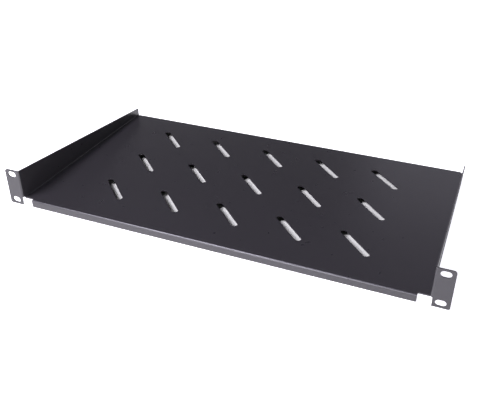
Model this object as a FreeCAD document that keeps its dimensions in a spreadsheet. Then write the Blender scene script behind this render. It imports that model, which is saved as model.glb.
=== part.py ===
"""Cantilever rack shelf, 1U: one steel blank, cut, folded and powder coated.

Frame: X across the rack, Y from the front towards the back, Z up. The origin is the
middle of the four ear holes, on the back faces of the ears, which seat on the rails of
the rack. The sketches are drawn from the front faces of the ears and the top of the
deck, and the body is then placed so that the rack's own datum is the origin.

The blank is a flat deck with these folds round it:
- two side walls folded up, level with the ears at the front and tapering to the back;
- two ears folded out from the front edges of the walls, which reach below the deck;
- a front lip and a rear lip folded down from the deck, level with the foot of the ears,
  so that the shelf stands level on a bench.
In the flat, the tail of each ear lies beside the end of the front lip, so the lip stops
short of the walls by the length of that tail and a cut between the two.
"""

import FreeCAD, Part
import math
import os

import Sketcher

NODE = "rack_shelf"

# name, value in millimetres or degrees, what it is
DRIVING = [
    ("sheet", 1.2, "Thickness of the steel sheet"),
    ("bend_inside", 0.7, "Inside radius of every fold"),
    ("rack_width", 482.6, "Width over both ears, a 19 inch panel"),
    ("tray_depth", 252.0, "Front face of the ears to the back of the shelf"),
    ("foot_drop", 8.5, "Foot of the ears and of both lips below the deck's top"),
    ("rack_hole_up", 31.75, "Spacing of the two holes in an ear, up the rack"),
    ("hole_margin", 5.375, "Centre of an ear hole to the ear's top or foot"),
    ("hole_edge", 8.75, "Centre of an ear hole to the ear's outer edge"),
    ("hole_long", 10.0, "Length of an ear hole, end to end"),
    ("hole_wide", 6.6, "Width of an ear hole"),
    ("hole_land", 2.75, "Flat metal between an ear hole and the fold"),
    ("ear_top_round", 3.0, "Round of the ears' upper outer corners"),
    ("ear_foot_round", 2.0, "Round of the ears' lower outer corners"),
    ("wall_back", 9.0, "Top of a side wall above the deck, at the back"),
    ("wall_round", 1.5, "Round of the walls' back upper corners"),
    ("blank_cut", 3.9, "Cut in the blank between an ear's tail and the front lip"),
    ("relief_past", 1.8, "How far the front relief runs into the deck past the fold"),
    ("relief_above", 0.4, "How far the front relief runs up the wall past the fold"),
    ("relief_round", 0.8, "Round of the front relief's corners"),
    ("slit_wide", 1.8, "Width of the slits at the ends of the rear lip"),
    ("slit_past", 1.6, "How far the slits run into the deck past the fold"),
    ("lip_round", 1.2, "Round of the lips' lower corners"),
    ("vent_long", 50.0, "Length of a vent slot, end to end"),
    ("vent_wide", 7.0, "Width of a vent slot"),
    ("vent_turn", 45.0, "Angle between a vent slot and the front edge"),
    ("vent_across", 70.0, "Vent spacing across the deck"),
    ("vent_back", 70.0, "Vent spacing from front to back"),
    ("vent_edge", 54.0, "Least distance of a vent's centre from the shelf's sides"),
    ("cut_past", 5.0, "How far a cutting profile runs past the sheet it cuts"),
]

# name, formula, what it is: sizes that follow from the driving ones
DERIVED = [
    ("fold", "=sheet + bend_inside", "Outside radius of every fold"),
    ("ear_top", "=rack_hole_up + 2 * hole_margin - foot_drop", "Top of the ears"),
    ("ear_outer", "=rack_width / 2", "Outer edge of an ear, from the middle"),
    ("ear_inner", "=ear_outer - hole_edge - hole_long / 2 - hole_land",
     "Where an ear turns into its fold"),
    ("wall_outer", "=ear_inner - bend_inside", "Outer face of a wall"),
    ("wall_inner", "=wall_outer - sheet", "Inner face of a wall"),
    ("deck_flat", "=wall_outer - fold", "Where the deck turns up into a wall"),
    ("hole_x", "=ear_outer - hole_edge", "Ear holes, from the middle"),
    ("hole_run", "=(hole_long - hole_wide) / 2", "Centre to the middle of a hole's end"),
    ("hole_low", "=hole_margin - foot_drop", "Height of the lower ear hole"),
    ("hole_high", "=hole_low + rack_hole_up", "Height of the upper ear hole"),
    ("relief_deep", "=fold + relief_past", "Back of the front relief"),
    ("relief_rise", "=bend_inside + relief_above", "Top of the front relief"),
    ("front_half", "=wall_outer - foot_drop - blank_cut", "Half the front lip"),
    ("rear_fold", "=tray_depth - fold", "Where the deck turns down at the back"),
    ("rear_half", "=deck_flat - slit_wide", "Half the rear lip"),
    ("slit_x", "=rear_half + slit_wide / 2", "Middle of a rear slit"),
    ("slit_end", "=rear_fold - slit_past + slit_wide / 2", "Middle of a slit's round end"),
    ("vent_columns", "=floor(2 * (wall_outer - vent_edge) / vent_across) + 1",
     "How many columns of vents fit"),
    ("vent_rows", "=floor((tray_depth - 2 * vent_edge) / vent_back) + 1",
     "How many rows of vents fit"),
    ("field_wide", "=(vent_columns - 1) * vent_across", "First to last column"),
    ("field_deep", "=(vent_rows - 1) * vent_back", "First to last row"),
    ("vent_left", "=-field_wide / 2", "First column of vents"),
    ("vent_first", "=(relief_deep + tray_depth - field_deep) / 2", "First row of vents"),
    ("vent_run_x", "=(vent_long - vent_wide) / 2 * cos(vent_turn * 1 deg)",
     "Middle of a vent to the middle of its round end, across"),
    ("vent_run_y", "=(vent_long - vent_wide) / 2 * sin(vent_turn * 1 deg)",
     "Middle of a vent to the middle of its round end, to the back"),
]

NAMES = [name for name, _, _ in DRIVING + DERIVED]
CCW, CW = 1, -1             # which way an arc turns along its outline
ORIGIN, START, END, CENTRE = (-1, 1), 1, 2, 3
NEAR = 1e-3                 # two places this close are the same one


def make_sizes(doc):
    """Put the sizes into the spreadsheet that every sketch and feature reads."""
    sizes = doc.addObject("Spreadsheet::Sheet", "Sizes")
    for row, (name, amount, note) in enumerate(DRIVING + DERIVED, start=1):
        sizes.set("A%d" % row, note)
        sizes.set("B%d" % row, str(amount))
        sizes.setAlias("B%d" % row, name)
    doc.recompute()
    return sizes


def linked(formula):
    """Turn 'wall_outer - sheet' into the same formula on the spreadsheet's cells."""
    return " ".join("Sizes." + w if w in NAMES else w for w in formula.split())


def value(sizes, formula):
    """Work out a sum such as 'wall_outer - sheet / 2', to put a point where it belongs."""
    total = 0.0
    for term in formula.replace("- ", "+ -").split("+"):
        name, _, divisor = term.strip().partition(" / ")
        if name:
            sign = -1 if name.startswith("-") else 1
            name = name.lstrip("-")
            number = getattr(sizes, name) if name in NAMES else float(name)
            total += sign * number / float(divisor or 1)
    return total


def origin_feature(body, role):
    """Return the body's own origin plane or axis, such as XY_Plane."""
    return next(f for f in body.Origin.OriginFeatures if f.Role == role)


def new_sketch(body, name, plane, offset=None):
    """Add a sketch on one of the body's planes, moved along its normal by a formula."""
    sketch = body.newObject("Sketcher::SketchObject", name)
    sketch.AttachmentSupport = [(origin_feature(body, plane), "")]
    sketch.MapMode = "FlatFace"
    if offset:
        sketch.setExpression("AttachmentOffset.Base.z", linked(offset))
    return sketch


def hold(sketch, constraint, formula):
    """Add a dimension to the sketch and tie it to the spreadsheet."""
    index = sketch.addConstraint(constraint)
    sketch.setExpression("Constraints[%d]" % index, linked(formula))


def hold_point(sketch, sizes, geometry, point, place):
    """Tie a point to its place, given as a pair of formulas from the origin."""
    for kind, formula in zip(("DistanceX", "DistanceY"), place):
        near = value(sizes, formula)
        hold(sketch, Sketcher.Constraint(kind, *ORIGIN, geometry, point, near), formula)


def add_outline(sketch, sizes, corners):
    """Draw a closed outline of lines and quarter arcs.

    A corner is (across, up), or (across, up, radius, turn) where an arc leaves it.
    """
    points = [FreeCAD.Vector(value(sizes, c[0]), value(sizes, c[1]), 0) for c in corners]
    edges = []              # (geometry, end at this corner, end at the next corner)
    for corner, p, q in zip(corners, points, points[1:] + points[:1]):
        if len(corner) == 2:
            index = sketch.addGeometry(Part.LineSegment(p, q), False)
            edges.append((index, START, END))
            continue
        radius, turn = value(sizes, corner[2]), corner[3]
        chord = q - p
        rise = math.sqrt(radius ** 2 - chord.Length ** 2 / 4) / chord.Length
        centre = (p + q) / 2 + FreeCAD.Vector(-chord.y, chord.x, 0) * (turn * rise)
        first, last = (p, q) if turn == CCW else (q, p)
        angles = [math.atan2(v.y - centre.y, v.x - centre.x) for v in (first, last)]
        circle = Part.Circle(centre, FreeCAD.Vector(0, 0, 1), radius)
        if angles[1] < angles[0]:
            angles[1] += 2 * math.pi
        index = sketch.addGeometry(Part.ArcOfCircle(circle, *angles), False)
        edges.append((index, START, END) if turn == CCW else (index, END, START))
        hold(sketch, Sketcher.Constraint("Radius", index, radius), corner[2])
    for corner, (index, start, _), (before, _, end) in zip(
            corners, edges, edges[-1:] + edges[:-1]):
        sketch.addConstraint(Sketcher.Constraint("Coincident", before, end, index, start))
        hold_point(sketch, sizes, index, start, corner[:2])


def add_slot(sketch, sizes, first, last, radius):
    """Draw a round-ended slot between two centres, each a pair of formulas."""
    a, b = [FreeCAD.Vector(value(sizes, x), value(sizes, y), 0) for x, y in (first, last)]
    r = value(sizes, radius)
    along = (b - a).normalize()
    side = FreeCAD.Vector(-along.y, along.x, 0) * r
    heading = math.atan2(along.y, along.x)
    up = FreeCAD.Vector(0, 0, 1)
    quarter = math.pi / 2
    shapes = [
        Part.LineSegment(a - side, b - side),
        Part.ArcOfCircle(Part.Circle(b, up, r), heading - quarter, heading + quarter),
        Part.LineSegment(b + side, a + side),
        Part.ArcOfCircle(Part.Circle(a, up, r), heading + quarter, heading + 3 * quarter),
    ]
    line, far, back, near = [sketch.addGeometry(shape, False) for shape in shapes]
    for one, other in ((line, far), (far, back), (back, near), (near, line)):
        sketch.addConstraint(Sketcher.Constraint("Tangent", one, END, other, START))
    for index, place in ((far, last), (near, first)):
        hold(sketch, Sketcher.Constraint("Radius", index, r), radius)
        hold_point(sketch, sizes, index, CENTRE, place)


def extrude(body, kind, name, sketch, length, both=False, flip=False):
    """Pad or pocket a sketch by a formula, either way or half to each side."""
    before = body.Tip.Shape.Volume if body.Tip else 0.0
    feature = body.newObject("PartDesign::" + kind, name)
    feature.Profile = sketch
    feature.Midplane = both
    feature.Reversed = flip
    feature.setExpression("Length", linked(length))
    body.Tip = feature
    body.Document.recompute()
    change = feature.Shape.Volume - before
    if (change > 0) != (kind == "Pad"):
        raise RuntimeError("%s changed the volume by %.3f mm3" % (name, change))
    return feature


def add_tray(body, sizes):
    """Deck and side walls: a folded channel, whose walls then taper to the back."""
    section = new_sketch(body, "TraySection", "XZ_Plane", "- fold")
    add_outline(section, sizes, [
        ("- deck_flat", "- sheet"),
        ("deck_flat", "- sheet", "fold", CCW),
        ("wall_outer", "bend_inside"),
        ("wall_outer", "ear_top"),
        ("wall_inner", "ear_top"),
        ("wall_inner", "bend_inside", "bend_inside", CW),
        ("deck_flat", "0"),
        ("- deck_flat", "0", "bend_inside", CW),
        ("- wall_inner", "bend_inside"),
        ("- wall_inner", "ear_top"),
        ("- wall_outer", "ear_top"),
        ("- wall_outer", "bend_inside", "fold", CCW),
    ])
    extrude(body, "Pad", "Tray", section, "tray_depth - fold", flip=True)
    side = new_sketch(body, "WallTaper", "YZ_Plane")
    add_outline(side, sizes, [
        ("fold", "ear_top"),
        ("tray_depth", "wall_back"),
        ("tray_depth + cut_past", "wall_back"),
        ("tray_depth + cut_past", "ear_top + cut_past"),
        ("fold", "ear_top + cut_past"),
    ])
    extrude(body, "Pocket", "Taper", side, "rack_width", both=True)


def add_front_relief(body, sizes):
    """Notch through the deck's front corner and the foot of the wall, on one side."""
    side = new_sketch(body, "ReliefSide", "YZ_Plane", "front_half")
    add_outline(side, sizes, [
        ("fold - cut_past", "- sheet - cut_past"),
        ("relief_deep", "- sheet - cut_past"),
        ("relief_deep", "relief_rise - relief_round", "relief_round", CCW),
        ("relief_deep - relief_round", "relief_rise"),
        ("fold - cut_past", "relief_rise"),
    ])
    length = "wall_outer - front_half + cut_past"
    return extrude(body, "Pocket", "FrontRelief", side, length, flip=True)


def add_ear(body, sizes):
    """Ear on one side: the fold out of the wall, the flat plate and its two holes."""
    section = new_sketch(body, "EarFoldSection", "XY_Plane", "relief_rise")
    add_outline(section, sizes, [
        ("wall_inner", "fold", "fold", CCW),
        ("ear_inner", "0"),
        ("ear_inner", "sheet", "bend_inside", CW),
        ("wall_outer", "fold"),
    ])
    bend = extrude(body, "Pad", "EarFold", section, "ear_top - relief_rise")
    face = new_sketch(body, "EarFace", "XZ_Plane")
    add_outline(face, sizes, [
        ("ear_inner", "- foot_drop"),
        ("ear_outer - ear_foot_round", "- foot_drop", "ear_foot_round", CCW),
        ("ear_outer", "- foot_drop + ear_foot_round"),
        ("ear_outer", "ear_top - ear_top_round", "ear_top_round", CCW),
        ("ear_outer - ear_top_round", "ear_top"),
        ("ear_inner", "ear_top"),
    ])
    plate = extrude(body, "Pad", "Ear", face, "sheet", flip=True)
    holes = new_sketch(body, "EarHoleOutlines", "XZ_Plane")
    for height in ("hole_low", "hole_high"):
        add_slot(holes, sizes, ("hole_x - hole_run", height),
                 ("hole_x + hole_run", height), "hole_wide / 2")
    cut = extrude(body, "Pocket", "EarHoles", holes, "sheet")
    return [bend, plate, cut]


def mirror_sides(body, features):
    """Repeat the right-hand relief and ear on the left."""
    mirror = body.newObject("PartDesign::Mirrored", "LeftSide")
    mirror.Originals = features
    mirror.MirrorPlane = (origin_feature(body, "YZ_Plane"), [""])
    body.Tip = mirror
    body.Document.recompute()


def add_front_lip(body, sizes):
    """Lip folded down from the deck's front edge, flush with the ears' front faces."""
    section = new_sketch(body, "FrontLipSection", "YZ_Plane")
    add_outline(section, sizes, [
        ("fold", "0", "fold", CCW),
        ("0", "- fold"),
        ("0", "- foot_drop"),
        ("sheet", "- foot_drop"),
        ("sheet", "- fold", "bend_inside", CW),
        ("fold", "- sheet"),
    ])
    extrude(body, "Pad", "FrontLip", section, "front_half + front_half", both=True)


def add_rear_lip(body, sizes):
    """Lip folded down at the back, freed from the walls by a round-ended slit each side."""
    trim = new_sketch(body, "RearTrim", "XY_Plane")
    add_outline(trim, sizes, [
        ("- deck_flat", "rear_fold"),
        ("deck_flat", "rear_fold"),
        ("deck_flat", "tray_depth + cut_past"),
        ("- deck_flat", "tray_depth + cut_past"),
    ])
    extrude(body, "Pocket", "RearCut", trim, "sheet")
    slits = new_sketch(body, "RearSlitOutlines", "XY_Plane")
    for side in ("", "- "):
        add_slot(slits, sizes, (side + "slit_x", "slit_end"),
                 (side + "slit_x", "tray_depth + cut_past"), "slit_wide / 2")
    extrude(body, "Pocket", "RearSlits", slits, "sheet")
    section = new_sketch(body, "RearLipSection", "YZ_Plane")
    add_outline(section, sizes, [
        ("rear_fold", "- sheet", "bend_inside", CW),
        ("tray_depth - sheet", "- fold"),
        ("tray_depth - sheet", "- foot_drop"),
        ("tray_depth", "- foot_drop"),
        ("tray_depth", "- fold", "fold", CCW),
        ("rear_fold", "0"),
    ])
    extrude(body, "Pad", "RearLip", section, "rear_half + rear_half", both=True)


def add_vents(body, sizes):
    """Slanting vent slots: one is cut, then repeated in columns and rows."""
    outline = new_sketch(body, "VentOutline", "XY_Plane")
    add_slot(outline, sizes, ("vent_left - vent_run_x", "vent_first + vent_run_y"),
             ("vent_left + vent_run_x", "vent_first - vent_run_y"), "vent_wide / 2")
    vent = extrude(body, "Pocket", "Vent", outline, "sheet")
    field = body.newObject("PartDesign::MultiTransform", "VentField")
    field.Originals = [vent]
    steps = []
    for name, axis, length, count in (
            ("VentColumns", "X_Axis", "field_wide", "vent_columns"),
            ("VentRows", "Y_Axis", "field_deep", "vent_rows")):
        step = body.Document.addObject("PartDesign::LinearPattern", name)
        body.addObject(step)
        step.Direction = (origin_feature(body, axis), [""])
        step.setExpression("Length", linked(length))
        step.setExpression("Occurrences", linked(count))
        steps.append(step)
    field.Transformations = steps
    body.Tip = field
    body.Document.recompute()


def round_corners(body, sizes, name, radius, places):
    """Round the sheet's corners at the given places, on the left and on the right.

    A place is (x, y, z) in formulas, and the short edge there has its middle at it.
    """
    wanted = [FreeCAD.Vector(*[value(sizes, f) for f in place]) for place in places]
    edges = []
    for number, edge in enumerate(body.Tip.Shape.Edges, start=1):
        middle = edge.CenterOfMass
        middle.x = abs(middle.x)
        short = abs(edge.Length - sizes.sheet) < NEAR
        if short and any((middle - place).Length < NEAR for place in wanted):
            edges.append("Edge%d" % number)
    if len(edges) != 2 * len(places):
        raise RuntimeError("%s found %d corners, not %d" % (name, len(edges), 2 * len(places)))
    base = body.Tip
    fillet = body.newObject("PartDesign::Fillet", name)
    fillet.Base = (base, edges)
    fillet.setExpression("Radius", linked(radius))
    body.Tip = fillet
    body.Document.recompute()


def add_rounds(body, sizes):
    """Rounds on the free corners of the blank: walls, lips and front reliefs."""
    half = "sheet / 2"
    round_corners(body, sizes, "WallRounds", "wall_round",
                  [("wall_outer - " + half, "tray_depth", "wall_back")])
    round_corners(body, sizes, "LipRounds", "lip_round",
                  [("front_half", half, "- foot_drop"),
                   ("rear_half", "tray_depth - " + half, "- foot_drop")])
    round_corners(body, sizes, "ReliefRounds", "relief_round",
                  [("front_half", "relief_deep", "- " + half)])


def check(doc):
    """Stop if any object failed to recompute."""
    for thing in doc.Objects:
        if {"Invalid", "Error"} & set(thing.State):
            raise RuntimeError("%s is %s" % (thing.Name, ", ".join(thing.State)))


def main():
    doc = FreeCAD.newDocument("CantileverShelf")
    sizes = make_sizes(doc)
    body = doc.addObject("PartDesign::Body", "Shelf")
    body.Label = NODE
    body.setExpression("Placement.Base.y", linked("- sheet"))
    body.setExpression("Placement.Base.z", linked("- hole_low - rack_hole_up / 2"))
    add_tray(body, sizes)
    relief = add_front_relief(body, sizes)
    mirror_sides(body, [relief] + add_ear(body, sizes))
    add_front_lip(body, sizes)
    add_rear_lip(body, sizes)
    add_vents(body, sizes)
    add_rounds(body, sizes)
    doc.recompute()
    check(doc)
    shape = body.Shape
    if shape.isNull() or not shape.isValid() or len(shape.Solids) != 1:
        raise RuntimeError(NODE + " isn't one valid solid")
    os.makedirs("parts", exist_ok=True)
    shape.exportStep("parts/%s.step" % body.Label)
    box = shape.BoundBox
    print("%s: %.1f cm3, %.1f x %.1f x %.1f mm, %d faces" % (
        NODE, shape.Volume / 1000, box.XLength, box.YLength, box.ZLength,
        len(shape.Faces)))


main()
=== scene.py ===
"""Cantilever rack shelf: its powder coat and a plain studio round it.

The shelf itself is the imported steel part, which stays as it is. This file gives it smooth
folds and a fine, satin black powder coat, and sets floor, lamps, world and camera.
Everything is in metres, in the shelf's own frame: X across the rack, Y into it, Z up.
"""

import math

import bpy
import numpy as np
from mathutils import Matrix, Vector


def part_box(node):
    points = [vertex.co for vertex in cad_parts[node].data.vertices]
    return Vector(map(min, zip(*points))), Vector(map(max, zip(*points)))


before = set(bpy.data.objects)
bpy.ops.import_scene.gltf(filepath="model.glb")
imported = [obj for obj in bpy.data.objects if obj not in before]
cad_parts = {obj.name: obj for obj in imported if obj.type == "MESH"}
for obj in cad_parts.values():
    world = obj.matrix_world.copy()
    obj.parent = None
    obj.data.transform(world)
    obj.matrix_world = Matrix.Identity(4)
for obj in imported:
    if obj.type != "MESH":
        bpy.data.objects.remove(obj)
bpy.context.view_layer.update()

bl_info = {
    "name": "Cantilever rack shelf",
    "version": (1, 0, 0),
    "blender": (4, 5, 0),
    "location": "View3D > Sidebar > Rack shelf",
    "description": "Powder coats a folded steel rack shelf and sets it in a plain studio",
    "category": "Object",
}

SHELF = "rack_shelf"
LOW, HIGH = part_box(SHELF)
MIDDLE = (LOW + HIGH) / 2
WHITE = (1.0, 1.0, 1.0, 1.0)

# Points of the mesh that are closer than this are one point.
SAME_POINT = 1e-6

# How many patches to a metre the coat's mottle and its uneven gloss have.
MOTTLE_PATCHES = 14.0
GLOSS_PATCHES = 90.0

# The floor's mesh: rings of the flat part and of the rim, points round a ring, and the
# rim's width as a share of the flat part's radius.
FLAT_RINGS, RIM_RINGS, TURNS = 3, 16, 96
RIM = 2 / 3

# Where the open floor starts, in from the shelf's sides, front and back, and the width over
# which it fades in. In mirrors it starts outside the walls, so that deck and walls don't
# mirror white from under themselves.
SEEN_SIDE, MIRRORED_SIDE = 0.055, 0.014
FRONT_INSET, BACK_INSET = 0.032, 0.014
FADE = 0.012

# Lamps: name, direction from the shelf's middle, distance, width, height, power's setting.
LAMPS = (
    ("key_lamp", (-0.42, -0.56, 0.72), 2.0, 0.8, 0.7, "key_power"),
    ("top_lamp", (-0.24, -0.6, 0.78), 0.95, 0.4, 0.3, "top_power"),
    ("front_lamp", (-0.3, -0.95, 0.05), 2.0, 1.6, 0.35, "front_power"),
    ("near_lamp", (0.06, -0.8, 0.14), 0.58, 0.3, 0.2, "near_power"),
    ("left_lamp", (-0.25, -0.75, 0.12), 0.9, 0.45, 0.3, "left_power"),
    ("rear_lamp", (0.12, 0.9, 0.42), 2.0, 0.9, 0.5, "rear_power"),
)

# The camera stands in front of the right ear and looks down on the deck and to the left.
CAMERA_SPOT = MIDDLE + Vector((0.24175, -0.60167, 0.35879))
CAMERA_AIM = MIDDLE + Vector((0.00232, -0.0371, -0.01275))
CAMERA_ROLL = math.radians(-0.204)


# ---------------------------------------------------------------- sizes and colours


class CoatSettings(bpy.types.PropertyGroup):
    """The powder coat on the steel."""

    colour: bpy.props.FloatVectorProperty(
        name="Colour", description="Black of the coat", subtype="COLOR", size=3,
        min=0.0, max=1.0, default=(0.0262, 0.0248, 0.0272))
    mottle: bpy.props.FloatProperty(
        name="Mottle", description="How much lighter the coat's lightest patches are",
        subtype="FACTOR", min=0.0, max=1.0, default=0.10)
    roughness: bpy.props.FloatProperty(
        name="Roughness", description="Middle roughness of the coat", subtype="FACTOR",
        min=0.0, max=1.0, default=0.29)
    uneven_gloss: bpy.props.FloatProperty(
        name="Uneven gloss", description="How far the roughness goes up and down",
        subtype="FACTOR", min=0.0, max=0.2, default=0.04)
    grain: bpy.props.FloatProperty(
        name="Grain", description="Distance between the bumps of the fine texture",
        unit="LENGTH", subtype="DISTANCE", min=0.0001, default=0.0009)
    grain_height: bpy.props.FloatProperty(
        name="Grain height", description="Height of the bumps of the fine texture",
        unit="LENGTH", subtype="DISTANCE", min=0.0, default=0.00002)
    fold_angle: bpy.props.FloatProperty(
        name="Fold angle", description="Edges that turn by less than this are shaded smooth",
        unit="ROTATION", subtype="ANGLE", min=0.0, max=math.pi,
        default=math.radians(32.0))


class StudioSettings(bpy.types.PropertyGroup):
    """Floor, lamps, world and camera."""

    floor_colour: bpy.props.FloatVectorProperty(
        name="Floor", description="Colour of the floor", subtype="COLOR", size=3,
        min=0.0, max=1.0, default=(0.77, 0.78, 0.71))
    floor_glow: bpy.props.FloatProperty(
        name="Floor glow", description="Light that the camera adds to the open floor",
        min=0.0, default=1.2)
    glow_colour: bpy.props.FloatVectorProperty(
        name="Glow colour", description="Colour of that light", subtype="COLOR", size=3,
        min=0.0, max=1.0, default=(0.93, 0.92, 1.0))
    floor_radius: bpy.props.FloatProperty(
        name="Floor radius", description="Radius of the floor's flat part",
        unit="LENGTH", subtype="DISTANCE", min=1.0, default=3.0)
    floor_rise: bpy.props.FloatProperty(
        name="Floor rise", description="Height of the floor's rim above its flat part",
        unit="LENGTH", subtype="DISTANCE", min=0.0, default=1.3)
    world_level: bpy.props.FloatProperty(
        name="World", description="Level of the even light from all round",
        min=0.0, default=0.02)
    key_power: bpy.props.FloatProperty(
        name="Key", description="Power of the soft lamp above the front",
        unit="POWER", subtype="POWER", min=0.0, default=52.0)
    top_power: bpy.props.FloatProperty(
        name="Top", description="Power of the near lamp over the front edge",
        unit="POWER", subtype="POWER", min=0.0, default=3.0)
    front_power: bpy.props.FloatProperty(
        name="Front", description="Power of the low lamp in front",
        unit="POWER", subtype="POWER", min=0.0, default=6.0)
    near_power: bpy.props.FloatProperty(
        name="Near", description="Power of the near lamp in front of the lip",
        unit="POWER", subtype="POWER", min=0.0, default=2.3)
    left_power: bpy.props.FloatProperty(
        name="Left", description="Power of the near lamp in front, on the left",
        unit="POWER", subtype="POWER", min=0.0, default=2.5)
    rear_power: bpy.props.FloatProperty(
        name="Rear", description="Power of the weak lamp behind, on the right",
        unit="POWER", subtype="POWER", min=0.0, default=0.95)
    light_colour: bpy.props.FloatVectorProperty(
        name="Light", description="Colour of the lamps", subtype="COLOR", size=3,
        min=0.0, max=1.0, default=(0.89, 0.86, 1.0))
    lens: bpy.props.FloatProperty(
        name="Lens", description="Focal length of the camera, in millimetres",
        unit="CAMERA", subtype="DISTANCE_CAMERA", min=10.0, default=48.45)


# ---------------------------------------------------------------- small helpers


def add(nodes, kind, **values):
    """Add a shader or geometry node and set its own properties."""
    node = nodes.new(kind)
    for name, setting in values.items():
        setattr(node, name, setting)
    return node


def soft_folds(angle):
    """Geometry nodes that join the mesh's loose triangles and shade its folds smooth."""
    group = bpy.data.node_groups.new("soft_folds", "GeometryNodeTree")
    group.interface.new_socket("Geometry", in_out="INPUT", socket_type="NodeSocketGeometry")
    group.interface.new_socket("Geometry", in_out="OUTPUT", socket_type="NodeSocketGeometry")
    nodes, link = group.nodes, group.links.new
    start = add(nodes, "NodeGroupInput")
    join = add(nodes, "GeometryNodeMergeByDistance")
    join.inputs["Distance"].default_value = SAME_POINT
    faces = add(nodes, "GeometryNodeSetShadeSmooth", domain="FACE")
    turn = add(nodes, "GeometryNodeInputMeshEdgeAngle")
    sharp = add(nodes, "FunctionNodeCompare", data_type="FLOAT", operation="GREATER_THAN")
    sharp.inputs["B"].default_value = angle
    edges = add(nodes, "GeometryNodeSetShadeSmooth", domain="EDGE")
    edges.inputs["Shade Smooth"].default_value = False
    end = add(nodes, "NodeGroupOutput")
    link(start.outputs["Geometry"], join.inputs["Geometry"])
    link(join.outputs["Geometry"], faces.inputs["Geometry"])
    link(faces.outputs["Geometry"], edges.inputs["Geometry"])
    link(turn.outputs["Unsigned Angle"], sharp.inputs["A"])
    link(sharp.outputs["Result"], edges.inputs["Selection"])
    link(edges.outputs["Geometry"], end.inputs["Geometry"])
    return group


def powder_coat(coat):
    """Satin black powder coat: fine bumps, faint mottle and a little uneven gloss."""
    material = bpy.data.materials.new("black_powder_coat")
    material.use_nodes = True
    nodes, link = material.node_tree.nodes, material.node_tree.links.new
    shader = nodes["Principled BSDF"]
    place = add(nodes, "ShaderNodeTexCoord").outputs["Object"]

    def noise(scale, detail):
        """A soft random pattern with so many patches to a metre."""
        node = add(nodes, "ShaderNodeTexNoise")
        node.inputs["Scale"].default_value = scale
        node.inputs["Detail"].default_value = detail
        link(place, node.inputs["Vector"])
        return node.outputs["Fac"]

    mottle = add(nodes, "ShaderNodeMix", data_type="RGBA")
    mottle.inputs["A"].default_value = (*coat.colour, 1.0)
    mottle.inputs["B"].default_value = (*[c * (1 + coat.mottle) for c in coat.colour], 1.0)
    link(noise(MOTTLE_PATCHES, 2.0), mottle.inputs["Factor"])
    link(mottle.outputs["Result"], shader.inputs["Base Color"])

    gloss = add(nodes, "ShaderNodeMapRange")
    gloss.inputs["To Min"].default_value = coat.roughness - coat.uneven_gloss
    gloss.inputs["To Max"].default_value = coat.roughness + coat.uneven_gloss
    link(noise(GLOSS_PATCHES, 3.0), gloss.inputs["Value"])
    link(gloss.outputs["Result"], shader.inputs["Roughness"])

    bump = add(nodes, "ShaderNodeBump")
    bump.inputs["Strength"].default_value = 1.0
    bump.inputs["Distance"].default_value = coat.grain_height
    link(noise(1.0 / coat.grain, 1.0), bump.inputs["Height"])
    link(bump.outputs["Normal"], shader.inputs["Normal"])
    return material


def floor_mesh(radius, rise):
    """The floor: a surface of revolution, z = rise * (1 - cos(pi * s)) / 2 past radius.

    s runs from 0 at the flat part's edge to 1 at the rim, which is RIM times radius further
    out, so the floor turns up softly all round.
    """
    rim = radius * RIM
    flat = np.linspace(0.0, radius, FLAT_RINGS + 1)[1:]
    rings = np.r_[flat, radius + np.linspace(0.0, rim, RIM_RINGS + 1)[1:]]
    turns = np.linspace(0.0, 2 * np.pi, TURNS + 1)[:-1]
    s = np.clip((rings - radius) / rim, 0, 1)
    x = np.outer(rings, np.cos(turns)) + MIDDLE.x
    y = np.outer(rings, np.sin(turns)) + MIDDLE.y
    z = np.repeat(rise * (1 - np.cos(np.pi * s[:, None])) / 2, TURNS, 1) + LOW.z
    centre = [[MIDDLE.x, MIDDLE.y, LOW.z]]
    points = np.vstack([centre, np.stack([x, y, z], -1).reshape(-1, 3)])

    here = 1 + np.arange(TURNS)
    after = 1 + (np.arange(TURNS) + 1) % TURNS
    fan = np.stack([np.zeros(TURNS, int), here, after], 1)
    first = TURNS * np.arange(len(rings) - 1)[:, None]
    quads = np.stack([first + here, first + TURNS + here, first + TURNS + after,
                      first + after], -1).reshape(-1, 4)
    mesh = bpy.data.meshes.new("studio_floor")
    mesh.from_pydata(points.tolist(), [], fan.tolist() + quads.tolist())
    mesh.shade_smooth()
    return mesh


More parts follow.
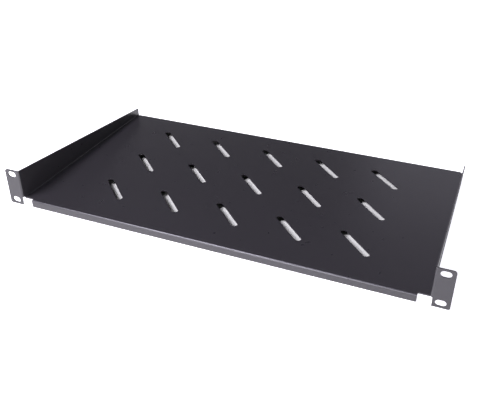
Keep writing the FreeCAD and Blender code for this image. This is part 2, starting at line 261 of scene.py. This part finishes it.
def floor_material(studio):
    """Matt white floor. Under the deck it is only lit; outside it also looks white."""
    material = bpy.data.materials.new("studio_floor")
    material.use_nodes = True
    nodes, link = material.node_tree.nodes, material.node_tree.links.new
    shader = nodes["Principled BSDF"]
    shader.inputs["Base Color"].default_value = (*studio.floor_colour, 1.0)
    shader.inputs["Roughness"].default_value = 1.0
    shader.inputs["Specular IOR Level"].default_value = 0.0
    shader.inputs["Emission Color"].default_value = (*studio.glow_colour, 1.0)

    def worked_out(operation, *values, clamp=False):
        """The result of one operation on sockets or plain numbers."""
        node = add(nodes, "ShaderNodeMath", operation=operation, use_clamp=clamp)
        for socket, value in zip(node.inputs, values):
            if isinstance(value, (int, float)):
                socket.default_value = value
            else:
                link(value, socket)
        return node.outputs[0]

    def outside(along, low, high):
        """0 between low and high, rising smoothly to 1 over the fade outside."""
        away = worked_out("ABSOLUTE", worked_out("SUBTRACT", along, (low + high) / 2))
        ramp = add(nodes, "ShaderNodeMapRange", interpolation_type="SMOOTHSTEP")
        ramp.inputs["From Min"].default_value = (high - low) / 2
        ramp.inputs["From Max"].default_value = (high - low) / 2 + FADE
        link(away, ramp.inputs["Value"])
        return ramp.outputs["Result"]

    ray = add(nodes, "ShaderNodeLightPath").outputs
    place = add(nodes, "ShaderNodeSeparateXYZ")
    link(add(nodes, "ShaderNodeTexCoord").outputs["Object"], place.inputs[0])
    ends = outside(place.outputs["Y"], LOW.y + FRONT_INSET, HIGH.y - BACK_INSET)

    def open_floor(rays, inset):
        """The given rays, where they meet the floor outside the shelf's footprint."""
        sides = outside(place.outputs["X"], LOW.x + inset, HIGH.x - inset)
        return worked_out("MULTIPLY", rays, worked_out("MAXIMUM", sides, ends))

    mirrored = worked_out("ADD", ray["Is Glossy Ray"], ray["Is Transmission Ray"],
                          clamp=True)
    seen = worked_out("ADD", open_floor(ray["Is Camera Ray"], SEEN_SIDE),
                      open_floor(mirrored, MIRRORED_SIDE), clamp=True)
    glow = worked_out("MULTIPLY", seen, studio.floor_glow)
    link(glow, shader.inputs["Emission Strength"])
    return material


def area_lamp(name, direction, distance, wide, high, power, colour):
    """A soft rectangular lamp that looks at the middle of the shelf."""
    data = bpy.data.lights.new(name, "AREA")
    data.shape, data.size, data.size_y = "RECTANGLE", wide, high
    data.energy, data.color = power, colour
    lamp = bpy.data.objects.new(name, data)
    way = Vector(direction).normalized()
    lamp.location = MIDDLE + way * distance
    lamp.rotation_mode = "QUATERNION"
    lamp.rotation_quaternion = way.to_track_quat("Z", "Y")
    bpy.context.scene.collection.objects.link(lamp)


def place_camera(lens):
    """The scene's camera, turned from its spot to its aim and rolled a little."""
    data = bpy.data.cameras.new("camera")
    data.sensor_width, data.lens = 36.0, lens
    data.clip_start, data.clip_end = 0.01, 50.0
    camera = bpy.data.objects.new("camera", data)
    look = (CAMERA_AIM - CAMERA_SPOT).to_track_quat("-Z", "Y").to_matrix()
    turn = look @ Matrix.Rotation(CAMERA_ROLL, 3, "Z")
    camera.matrix_world = Matrix.Translation(CAMERA_SPOT) @ turn.to_4x4()
    bpy.context.scene.collection.objects.link(camera)
    bpy.context.scene.camera = camera


# ---------------------------------------------------------------- operators


class RACKSHELF_OT_shelf(bpy.types.Operator):
    """Shade the folds smooth and give the steel its powder coat"""

    bl_idname = "rackshelf.shelf"
    bl_label = "Shelf"

    def execute(self, context):
        coat = context.scene.rackshelf_coat
        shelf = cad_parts[SHELF]
        folds = shelf.modifiers.new("soft_folds", "NODES")
        folds.node_group = soft_folds(coat.fold_angle)
        # The large faces rule the shading, so the flat sides stay flat beside the folds.
        flats = shelf.modifiers.new("flat_sides", "WEIGHTED_NORMAL")
        flats.mode, flats.weight, flats.keep_sharp = "FACE_AREA", 50, True
        material = powder_coat(coat)
        for slot in shelf.material_slots:
            slot.link = "OBJECT"
            slot.material = material
        return {"FINISHED"}


class RACKSHELF_OT_stage(bpy.types.Operator):
    """Set the floor, the lamps, the world and the camera"""

    bl_idname = "rackshelf.stage"
    bl_label = "Studio"

    def execute(self, context):
        scene, studio = context.scene, context.scene.rackshelf_studio
        floor = bpy.data.objects.new(
            "studio_floor", floor_mesh(studio.floor_radius, studio.floor_rise))
        floor.data.materials.append(floor_material(studio))
        scene.collection.objects.link(floor)
        for *lamp, power in LAMPS:
            area_lamp(*lamp, getattr(studio, power), studio.light_colour)
        world = bpy.data.worlds.new("studio")
        world.use_nodes = True
        background = world.node_tree.nodes["Background"]
        background.inputs["Color"].default_value = WHITE
        background.inputs["Strength"].default_value = studio.world_level
        scene.world = world
        scene.view_settings.view_transform = "Standard"
        place_camera(studio.lens)
        return {"FINISHED"}


class RACKSHELF_PT_panel(bpy.types.Panel):
    """Buttons and settings in the 3D view's sidebar"""

    bl_idname = "RACKSHELF_PT_panel"
    bl_label = "Rack shelf"
    bl_space_type = "VIEW_3D"
    bl_region_type = "UI"
    bl_category = "Rack shelf"

    def draw(self, context):
        for operator, settings in ((RACKSHELF_OT_shelf, context.scene.rackshelf_coat),
                                   (RACKSHELF_OT_stage, context.scene.rackshelf_studio)):
            self.layout.operator(operator.bl_idname)
            for name in settings.__annotations__:
                self.layout.prop(settings, name)


CLASSES = (CoatSettings, StudioSettings, RACKSHELF_OT_shelf, RACKSHELF_OT_stage,
           RACKSHELF_PT_panel)


def register():
    for kind in CLASSES:
        bpy.utils.register_class(kind)
    bpy.types.Scene.rackshelf_coat = bpy.props.PointerProperty(type=CoatSettings)
    bpy.types.Scene.rackshelf_studio = bpy.props.PointerProperty(type=StudioSettings)


def unregister():
    del bpy.types.Scene.rackshelf_studio
    del bpy.types.Scene.rackshelf_coat
    for kind in reversed(CLASSES):
        bpy.utils.unregister_class(kind)


def main():
    register()
    bpy.ops.rackshelf.shelf()
    bpy.ops.rackshelf.stage()


if __name__ == "__main__":
    main()
